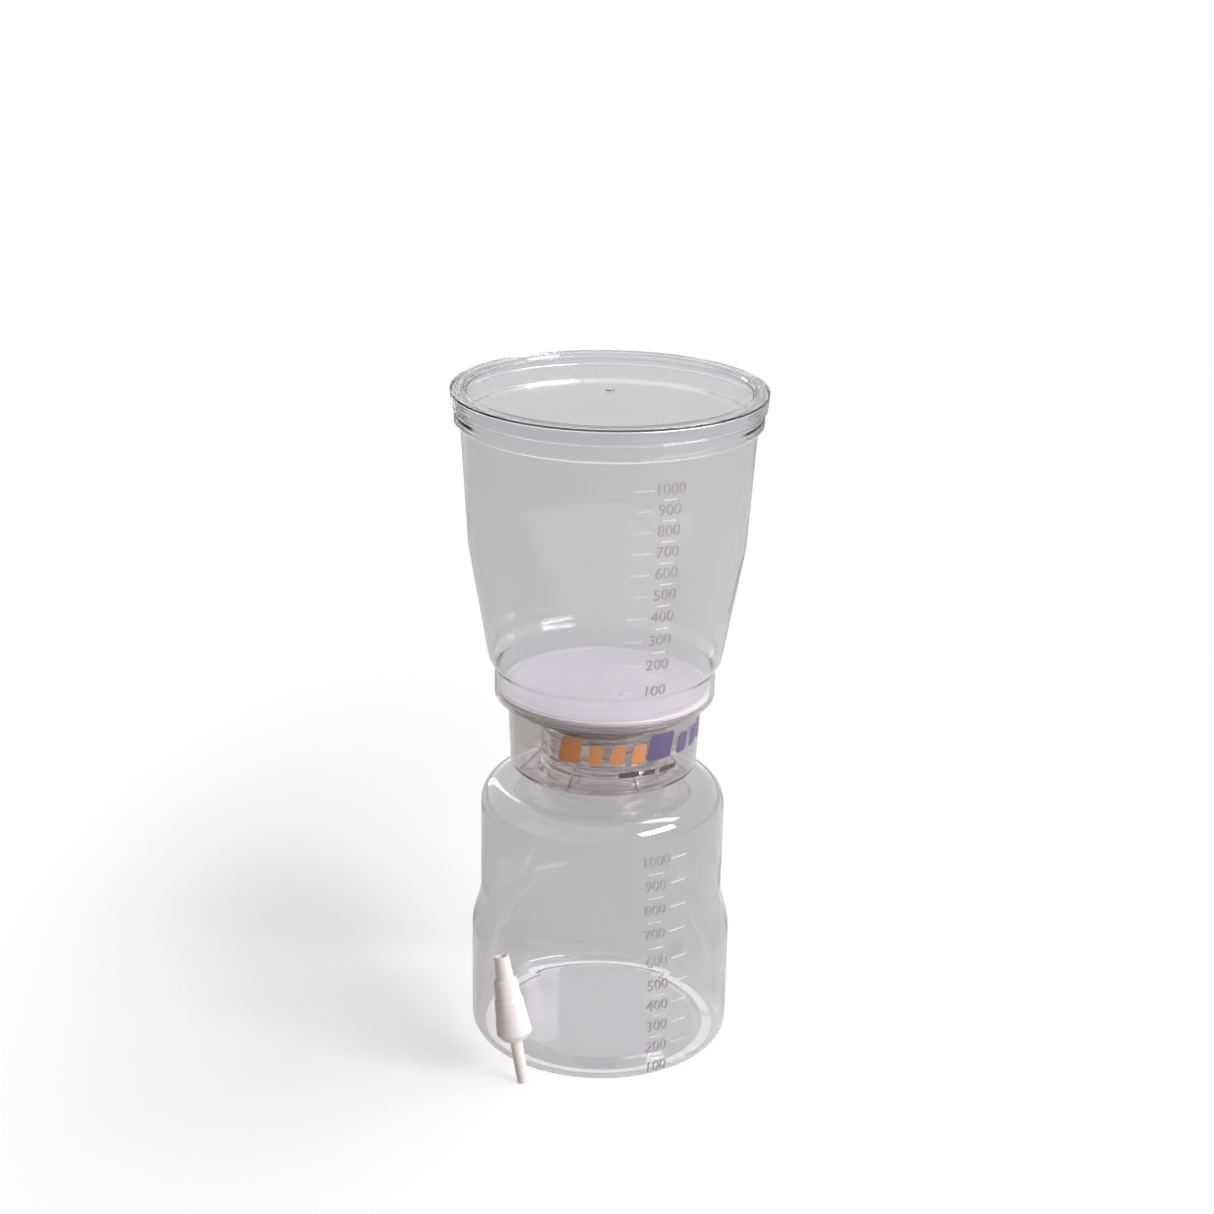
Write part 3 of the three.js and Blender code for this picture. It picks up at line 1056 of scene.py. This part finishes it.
collarThread = {
    **thread,
    "turns": 3.0,
    "depth": 1.1,
    "root": 2.0,
    "crest": 0.8,
}
collarThreadCentre = base["collarInside"] - collarThread["depth"] / 2 + thread["sunk"]
innerThread = screwRidge("collar_thread", collarThreadCentre, threadBottom + thread["pitch"] / 2, collarThread)
place(innerThread, "filter_top", "clear_plastic")
print("filter base made")

# drain cone

cone = {
    "rimWidth": 2,
    "wall": 1.8,
    "fall": 7.8,
    "bore": 5,
    "spoutWall": 1.7,
    "slant": 30,
    "slantReach": 1.2,
}


def coneSection():
    c = cone
    tip, top = heights("drain_cone")
    rimInside = coneRimRadius - c["rimWidth"]
    rimBottom = top - coneRimHeight
    coneTop = rimBottom + c["wall"]
    floor = coneTop - c["fall"]
    spout = c["bore"] + c["spoutWall"]
    return rounded([
        (rimInside - c["wall"], rimBottom, 0.5),
        (coneRimRadius, rimBottom, 0.4),
        (coneRimRadius, top, 0.3),
        (rimInside, top, 0.3),
        (rimInside, coneTop, 0.8),
        (c["bore"], floor, 1.6),
        (c["bore"], tip, 0.15),
        (spout, tip, 0.3),
        (spout + c["spoutWall"] / 2, floor - c["wall"], 0.8),
    ], 6)


def slantTip(mesh):
    # the spout's lowest rings rise towards one side, as if cut off at a slant
    tip = heights("drain_cone")[0] * mm
    spout = (cone["bore"] + cone["spoutWall"]) * mm
    slope = math.tan(math.radians(cone["slant"]))
    for v in mesh.vertices:
        if v.co.z < tip + cone["slantReach"] * mm:
            v.co.z += (spout - v.co.x) * slope


drain = turned("drain_insert", coneSection(), plasticDrain, 192)
slantTip(drain.data)
place(drain, "filter_top", "clear_plastic", "drain_cone")
print("drain cone made")

# support plate and membrane

plate = {
    "rings": 4,
    "slotLength": 6.4,
    "slotWidth": 1.6,
    "slotSpacing": 9,
    "slotPitch": 8,
}

# slots on points, cut out of a plate
slotTree, slots, given = geometryTree("slottedPlate", {
    "Points": ("Object", None),
    "Slot": ("Vector", (0.006, 0.0016, 0.01)),
    "Material": ("Material", None),
})
spots = slots.add("ObjectInfo", sockets={"Object": given["Points"]}, output="Geometry")
spot = slots.add("InputPosition")
spotX = slots.add("ShaderNodeSeparateXYZ", sockets={0: spot}, output="X")
spotY = slots.add("ShaderNodeSeparateXYZ", sockets={0: spot}, output="Y")
facing = slots.add("ShaderNodeMath", {"operation": "ARCTAN2"}, {0: spotY, 1: spotX})
slotTurn = slots.add("ShaderNodeCombineXYZ", sockets={"Z": facing})
slotShape = slots.add("MeshCube", sockets={"Size": given["Slot"]})
slotCopies = slots.add("InstanceOnPoints", sockets={"Points": spots, "Instance": slotShape, "Rotation": slotTurn})
slotBodies = slots.add("RealizeInstances", sockets={"Geometry": slotCopies})
cutting = {"operation": "DIFFERENCE", "solver": "EXACT"}
holed = slots.add("MeshBoolean", cutting, {"Mesh 1": given["Geometry"], "Mesh 2": slotBodies})
endTree(slots, holed, given["Material"])


def slottedPlate():
    low, high = heights("support_plate")
    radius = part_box("support_plate")[1].x / mm
    blank = turned("plate_blank", rounded([
        (0, low),
        (radius, low, 0.4),
        (radius, high, 0.5),
        (0, high),
    ]), plateWhite, 224)
    middles = []
    for row in range(plate["rings"]):
        out = ((row + 0.5) * plate["slotSpacing"] + plate["slotLength"] / 2) * mm
        count = round(tau * out / (plate["slotPitch"] * mm))
        for i in range(count):
            angle = (i + row / 2) * tau / count
            middles.append((out * math.cos(angle), out * math.sin(angle), (low + high) / 2 * mm))
    pattern = bpy.data.meshes.new("slotPattern")
    pattern.from_pydata(middles, [], [])
    carrier = linked("slotPattern", pattern)
    mesh = blank.data
    bpy.data.objects.remove(blank)
    piece = grown("filter_plate", mesh, slotTree, {
        "Points": carrier,
        "Slot": (plate["slotLength"] * mm, plate["slotWidth"] * mm, 2 * (high - low) * mm),
        "Material": plateWhite,
    })
    bpy.data.objects.remove(carrier)
    return piece


place(slottedPlate(), "filter_top", "white_plate", "support_plate")

sheet = {
    "weldInside": 41.6,
    "weldOutside": 43.4,
    "weldDepth": 0.06,
    "weldFlank": 0.3,
    "edge": 0.05,
    "rings": 60,
}


def sheetSection():
    low, high = heights("membrane")
    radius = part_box("membrane")[1].x / mm
    weldIn, weldOut = sheet["weldInside"], sheet["weldOutside"]
    flank, edge = sheet["weldFlank"], sheet["edge"]
    pressed = high - sheet["weldDepth"]
    across = [(r, high) for r in np.linspace(0, weldIn - flank, sheet["rings"])]
    weld = [(weldIn, pressed), (weldOut, pressed), (weldOut + flank, high)]
    top = [*across, *weld, (radius - edge, high), (radius, high - edge)]
    return [(0, low), (radius, low), *top[::-1]]


membraneWhite = filterSheet(
    "felted filter membrane", (0.56, 0.515, 0.55), (0.53, 0.485, 0.52), (0.63, 0.60, 0.62),
    sheet["weldInside"] * mm, sheet["weldOutside"] * mm,
)
place(turned("membrane_sheet", sheetSection(), membraneWhite, 192), "filter_top", "membrane", "membrane")
gasketMaterials = frame["nodes"]["neck_gasket"].data.materials
gasketMaterials.clear()
gasketMaterials.append(siliconeGrey)
print("plate, membrane and gasket made")

# print on the drum: plain slanted fields in two inks over a row of grey bars

printed = {
    "lift": 0.03,
    "thickness": 0.05,
    "slant": 0.17,
}
tallRow = {"foot": 144.7, "heights": (12.0, 8.8, 8.8, 8.8), "corner": 1.6}
lowRow = {"foot": 138.4, "heights": (2.4, 2.4, 2.4), "corner": 0.8}
printRows = {
    "orange": {**tallRow, "start": -26, "widths": (9.6, 6.2, 6.2, 6.2), "gap": 3.3},
    "purple": {**tallRow, "start": 27.5, "widths": (12.6, 6.6, 6.6, 6.6), "gap": 3.4},
    "grey": {**lowRow, "start": 9.5, "widths": (9.0, 5.5, 9.5), "gap": 2.4},
}
inks = {
    "orange": ink("orange print", (0.60, 0.235, 0.08), (0.64, 0.29, 0.13)),
    "purple": ink("purple print", (0.095, 0.068, 0.18), (0.13, 0.105, 0.22)),
    "grey": ink("grey print", (0.06, 0.058, 0.07), (0.09, 0.088, 0.10)),
}
drumWall = [(drumFoot, drumBottom), (drumRadius, drumTop)]


def field(width, height, corner, slant):
    # outline of a slanted field with rounded corners, centred
    outline = []
    for sideX, sideY, start in ((1, 1, 0), (-1, 1, 90), (-1, -1, 180), (1, -1, 270)):
        inX = sideX * (width / 2 - corner)
        inY = sideY * (height / 2 - corner)
        outline += arc(corner, inX, inY, start, start + 90, 8)
    return [(x + slant * y, y) for x, y in outline]


def prism(outline, thickness):
    work = bmesh.new()
    face = work.faces.new([work.verts.new((x, y, 0)) for x, y in outline])
    pushed = bmesh.ops.extrude_face_region(work, geom=[face], use_keep_orig=True)
    moved = [v for v in pushed["geom"] if isinstance(v, bmesh.types.BMVert)]
    bmesh.ops.translate(work, verts=moved, vec=(0, 0, thickness))
    return work


def printRow(colour, row):
    # fields side by side from a starting azimuth in degrees, all standing on one line
    name = "print_" + colour
    whole = bmesh.new()
    at = math.radians(row["start"]) * drumRadius
    for width, height in zip(row["widths"], row["heights"]):
        work = prism(field(width, height, row["corner"], printed["slant"]), printed["thickness"])
        wrap(work, drumWall, (at + width / 2) / drumRadius, row["foot"] + height / 2, -printed["lift"])
        mesh = bpy.data.meshes.new(name)
        work.to_mesh(mesh)
        whole.from_mesh(mesh)
        work.free()
        at += width + row["gap"]
    place(pieceFrom(name, whole, inks[colour]), "filter_top", colour + "_print")


for colour, row in printRows.items():
    printRow(colour, row)
print("print made")

# hose adapter

adapter = {
    "stemFoot": 2.45,
    "stem": 2.75,
    "stemLength": 20.5,
    "chamferWidth": 2,
    "chamferHeight": 2.8,
    "steps": [(7.75, 6), (7, 10.2), (5.7, 8.9)],
    "draft": 0.07,
    "shoulder": 1.1,
    "tip": 3.9,
    "tipBore": 2.3,
    "stemBore": 1.6,
}


def adapterSection(length):
    a = adapter
    section = [
        (a["stemBore"], 0, 0.2),
        (a["stemFoot"], 0, 0.35),
        (a["stem"], a["stemLength"], 0.4),
        (a["steps"][0][0] - a["chamferWidth"], a["stemLength"], 0.5),
    ]
    height = a["stemLength"] + a["chamferHeight"]
    for radius, rise in a["steps"]:
        straight = rise - a["shoulder"]
        section.append((radius, height, 0.3))
        section.append((radius - a["draft"] * straight, height + straight, 0.3))
        height += rise
    section += [
        (a["tip"], height, 0.5),
        (a["tip"] - a["draft"] * (length - height), length, 0.3),
        (a["tipBore"], length, 0.25),
        (a["tipBore"], height, 0.3),
        (a["stemBore"], a["stemLength"], 0.3),
    ]
    return rounded(section, 6)


def adapterLine():
    # its axis runs between the middles of the CAD node's two end faces
    spots = np.array([v.co for v in frame["nodes"]["hose_adapter"].data.vertices], float)
    spots = np.unique(np.round(spots, 7), axis=0)
    mount = next(m for m in frame["record"]["mounts"] if m["name"] == "adapter_hose_end")
    axis = np.array(mount["axis"], float)
    axis /= np.linalg.norm(axis)
    along = spots @ axis
    near = 2e-5  # metres from an end face
    foot = spots[along < along.min() + near].mean(0)
    tip = spots[along > along.max() - near].mean(0)
    return Vector(foot), Vector(tip)


foot, tip = adapterLine()
adapterPiece = turned("stepped_adapter", adapterSection((tip - foot).length / mm), plasticWhite, 96)
lean = Vector((0, 0, 1)).rotation_difference(tip - foot).to_matrix().to_4x4()
adapterPiece.data.transform(Matrix.Translation(foot) @ lean)
place(adapterPiece, "bottle", "white_plastic", "hose_adapter")
print("adapter made")

# floor, world, lamps and camera

studio = {
    "floorRadius": 6,
    "floorColour": (0.80, 0.80, 0.805),
    "floorBounce": (0.62, 0.54, 0.48),
    "floorGlow": 0.255,
    # the fade and the oval where the floor stays lit instead of white: a painted shadow on the left
    "floorFade": (0.0, 0.21),
    "shadowMiddle": (-0.13, 0.05, 0),
    "shadowShape": (1.2, 0.5, 1),
    "floorThrough": 0.65,
    "ambient": 0.22,
    "leftShare": 0.21,
    "rightShare": 1.1,
    "leftToRight": (-0.8, 0.6),
    "leftColour": (1, 0.80, 0.62),
    "mirrored": 0.50,
    "seenThrough": (0.82, 0.70),
    "seenThroughRise": (0.1, 0.7),
    "target": (0, 0, 0.14),
}


def scatteredLight(nodes):
    # 1 for rays that left a matt surface, 0 for those that clear and shiny pieces pass on
    return nodes.add("LightPath", output="Diffuse Depth") > 0.5


def eased(nodes, value, source, target):
    # a soft step from one range to another
    return nodes.add("MapRange", {"interpolation_type": "SMOOTHSTEP"}, {
        "Value": value, "From Min": source[0], "From Max": source[1], "To Min": target[0], "To Max": target[1],
    })


def floorMaterial():
    material, nodes = startMaterial("pale floor")
    # painted shadow: inside an oval left of the unit the lit floor shows, with the shadows that the lamps really
    # cast; outside it the floor turns white, so the oval stays as a grey patch
    away = nodes.add("VectorMath", {"operation": "SUBTRACT"}, {0: objectPlace(nodes), 1: studio["shadowMiddle"]})
    oval = nodes.add("VectorMath", {"operation": "MULTIPLY"}, {0: away, 1: studio["shadowShape"]})
    radius = nodes.add("VectorMath", {"operation": "LENGTH"}, {0: oval}, output="Value")
    fade = eased(nodes, radius, studio["floorFade"], (0, 1))
    camera = nodes.add("LightPath", output="Is Camera Ray")
    scattered = scatteredLight(nodes)
    through = nodes.add("LightPath", output="Is Transmission Ray") * (1 - scattered)
    seen = camera.maximum(through)
    level = 1 - through * (1 - studio["floorThrough"])
    shade = blendColours(nodes, scattered, studio["floorColour"], studio["floorBounce"])
    dimmed = nodes.add("VectorMath", {"operation": "MULTIPLY"}, {0: shade, 1: level})
    mat = nodes.add("BsdfDiffuse", sockets={"Color": dimmed})
    glow = nodes.add("Emission", sockets={"Strength": level * seen * studio["floorGlow"]})
    lit = nodes.add("AddShader", sockets={0: mat, 1: glow})
    white = nodes.add("Emission", sockets={"Strength": level})
    blend = nodes.add("MixShader", sockets={0: fade * seen, 1: lit, 2: white})
    nodes.add("OutputMaterial", sockets={"Surface": blend})
    return material


floorMesh = bpy.data.meshes.new("floor")
work = bmesh.new()
bmesh.ops.create_circle(work, cap_ends=True, segments=96, radius=studio["floorRadius"])
work.to_mesh(floorMesh)
work.free()
floorMesh.materials.append(floorMaterial())
floor = linked("floor", floorMesh)

scene = bpy.context.scene
world = bpy.data.worlds.new("studio")
scene.world = world
world.use_nodes = True
sky = Nodes(world.node_tree, "ShaderNode")
direction = sky.add("TexCoord", output="Generated")
upward = sky.add("SeparateXYZ", sockets={0: direction}, output="Z")
camera = sky.add("LightPath", output="Is Camera Ray")
through = sky.add("LightPath", output="Is Transmission Ray") * (1 - scatteredLight(sky))
glossy = sky.add("LightPath", output="Is Glossy Ray")
darker = eased(sky, upward, studio["seenThroughRise"], studio["seenThrough"])
sideways = sky.add("SeparateXYZ", sockets={0: direction}, output="X")
left, right = studio["leftToRight"]
fromRight = sky.add("MapRange", sockets={
    "Value": sideways, "From Min": left, "From Max": right,
    "To Min": studio["leftShare"], "To Max": studio["rightShare"],
})
plain = (1 - camera) * (1 - through) * (1 - glossy)
level = camera + through * darker + glossy * studio["mirrored"] + plain * fromRight * studio["ambient"]
warmth = plain * (studio["rightShare"] - fromRight)
shade = blendColours(sky, warmth, (1, 1, 1), studio["leftColour"])
background = sky.add("Background", sockets={"Color": shade, "Strength": level})
sky.add("OutputWorld", sockets={"Surface": background})

lamps = {
    "key": {"spot": (1.08, -0.66, 0.97), "size": (0.9, 0.38), "power": 23.0},
    "fill left": {"spot": (-1.1, -0.5, 0.7), "size": (0.8, 1.0), "power": 0.7, "colour": (1, 0.88, 0.74)},
    "strip back": {"spot": (-0.5, 0.9, 0.5), "size": (0.12, 0.9), "power": 1.0},
    "top bar": {"spot": (0.62, 0.15, 1.2), "size": (0.9, 0.22), "power": 5.0, "target": (0.62, -0.1, 0.14)},
}


def softbox(name, spot, size, power, colour=(1, 1, 1), target=studio["target"]):
    lamp = bpy.data.lights.new(name, "AREA")
    lamp.shape = "RECTANGLE"
    lamp.size, lamp.size_y = size
    lamp.energy = power
    lamp.color = colour
    holder = linked(name, lamp)
    holder.location = spot
    aim = Vector(target) - Vector(spot)
    holder.rotation_euler = aim.to_track_quat("-Z", "Y").to_euler()


for name, lamp in lamps.items():
    softbox(name, **lamp)

view = {
    "away": 0.951,
    "height": 0.5408,
    "pitch": 0.34298,
    "yaw": 0.00044,
    "roll": 0.01844,
    "lens": 69.147,
}
cameraData = bpy.data.cameras.new("camera")
cameraData.lens = view["lens"]
cameraData.sensor_width = 36
cameraData.clip_end = 30
eye = linked("camera", cameraData)
turnEye = Matrix.Rotation(-view["yaw"], 4, "Z") @ Matrix.Rotation(tau / 4 - view["pitch"], 4, "X")
stand = Matrix.Translation((0, -view["away"], view["height"]))
eye.matrix_world = stand @ turnEye @ Matrix.Rotation(view["roll"], 4, "Z")
scene.camera = eye

scene.view_settings.view_transform = "Standard"
scene.cycles.max_bounces = 32
scene.cycles.transmission_bounces = 32
scene.cycles.transparent_max_bounces = 32
scene.cycles.glossy_bounces = 8
print("studio made")
